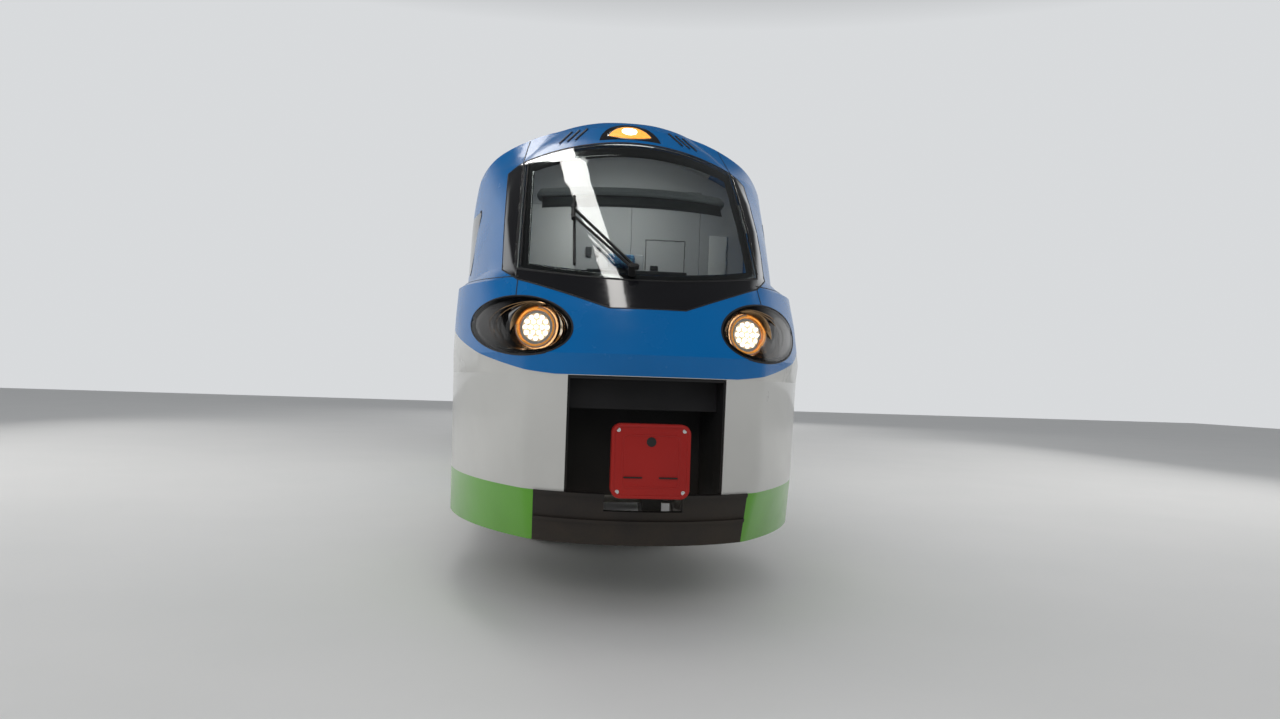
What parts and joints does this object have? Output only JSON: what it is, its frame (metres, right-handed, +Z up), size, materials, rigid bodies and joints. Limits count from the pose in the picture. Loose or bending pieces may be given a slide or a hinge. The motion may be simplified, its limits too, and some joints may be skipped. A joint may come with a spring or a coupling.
{
  "type": "driving rail car of an electric multiple unit",
  "caption": "Cab end car of a regional electric train, with a raked nose, hollow saloon and cab, plug doors, and two swivelling bogies on rolling wheelsets.",
  "frame": {"origin": "middle of the bounding box at the height of the wheels' flange tips", "axes": "+Z up, Y along the car with the nose towards -Y, X across"},
  "size_m": [2.82, 20.8, 4.2967],
  "materials": {
    "paint_blue": "gloss blue paint",
    "paint_white": "satin pale grey paint",
    "paint_green": "gloss green paint",
    "mask_black": "gloss black",
    "glass_clear": "clear laminated glass",
    "glass_tint": "tinted glass",
    "lamp_glass": "clear lens",
    "lamp_unit": "bright reflector",
    "cover_red": "red cover",
    "black_steel": "satin black",
    "bogie_grey": "satin dark grey",
    "wheel_steel": "machined steel",
    "bellows_rubber": "matt rubber",
    "spring_rubber": "matt rubber",
    "spring_steel": "black enamel",
    "floor_vinyl": "speckled vinyl",
    "interior_white": "satin laminate",
    "desk_grey": "grained plastic",
    "seat_blue": "woven cloth",
    "seat_frame": "satin grey",
    "pole_steel": "brushed",
    "roof_grey": "satin grey",
    "wiper_black": "satin black"
  },
  "bodies": {
    "car": {"cab_shell": "paint_blue", "nose_panel": "paint_white", "nose_skirts": "paint_green", "front_apron": "black_steel", "windscreen": "glass_clear", "quarter_glass": "mask_black", "mask_panel": "mask_black", "headlamp_covers": "lamp_glass", "headlamps": "lamp_unit", "headlamp_housings": "mask_black", "top_lamp": "lamp_glass", "cab_side_glass": "glass_tint", "side_wall_right": "paint_white", "side_wall_left": "paint_white", "side_glass": "glass_tint", "side_skirts": "paint_green", "roof_shell": "paint_white", "rear_end_wall": "paint_white", "gangway_bellows": "bellows_rubber", "doors_right": "paint_blue", "doors_left": "paint_blue", "door_glass": "glass_tint", "underframe": "black_steel", "low_floor": "floor_vinyl", "stairs": "floor_vinyl", "sole_bars": "black_steel", "cab_floor": "floor_vinyl", "cab_bulkhead": "interior_white", "driver_desk": "desk_grey", "driver_seat": "seat_blue", "driver_seat_base": "seat_frame", "seats": "seat_blue", "seat_pedestals": "seat_frame", "grab_poles": "pole_steel", "luggage_racks": "pole_steel", "ceiling": "interior_white", "coupler": "black_steel", "coupler_cover": "cover_red", "coupler_beam": "black_steel", "rear_drawbar": "black_steel", "roof_hvac": "roof_grey", "roof_boxes": "roof_grey", "roof_fairings": "paint_white", "wiper": "wiper_black"},
    "cab_door": {"cab_door": "interior_white"},
    "bogie_front": {"bogie_frame_front": "bogie_grey", "axle_boxes_front": "bogie_grey", "primary_springs_front": "spring_steel", "air_springs_front": "spring_rubber", "drives_front": "bogie_grey"},
    "wheelset_front_1": {"wheelset_front_1": "wheel_steel"},
    "wheelset_front_2": {"wheelset_front_2": "wheel_steel"},
    "bogie_rear": {"bogie_frame_rear": "bogie_grey", "axle_boxes_rear": "bogie_grey", "primary_springs_rear": "spring_steel", "air_springs_rear": "spring_rubber"},
    "wheelset_rear_1": {"wheelset_rear_1": "wheel_steel"},
    "wheelset_rear_2": {"wheelset_rear_2": "wheel_steel"}
  },
  "joints": [
    {"name": "bogie_front_yaw", "type": "hinge", "parent": "car", "child": "bogie_front", "pos_m": [0, -5.55, 0.668], "axis": [0, 0, 1], "range_deg": [-3, 3]},
    {"name": "bogie_rear_yaw", "type": "hinge", "parent": "car", "child": "bogie_rear", "pos_m": [0, 6.55, 0.668], "axis": [0, 0, 1], "range_deg": [-3, 3]},
    {"name": "wheelset_front_1_roll", "type": "hinge", "parent": "bogie_front", "child": "wheelset_front_1", "pos_m": [0, -6.8, 0.453], "axis": [1, 0, 0], "continuous": true},
    {"name": "wheelset_front_2_roll", "type": "hinge", "parent": "bogie_front", "child": "wheelset_front_2", "pos_m": [0, -4.3, 0.453], "axis": [1, 0, 0], "continuous": true},
    {"name": "wheelset_rear_1_roll", "type": "hinge", "parent": "bogie_rear", "child": "wheelset_rear_1", "pos_m": [0, 5.3, 0.453], "axis": [1, 0, 0], "continuous": true},
    {"name": "wheelset_rear_2_roll", "type": "hinge", "parent": "bogie_rear", "child": "wheelset_rear_2", "pos_m": [0, 7.8, 0.453], "axis": [1, 0, 0], "continuous": true},
    {"name": "cab_door_swing", "type": "hinge", "parent": "car", "child": "cab_door", "pos_m": [0.1475, -6.736, 1.533], "axis": [0, 0, 1], "range_deg": [0, 90]}
  ]
}
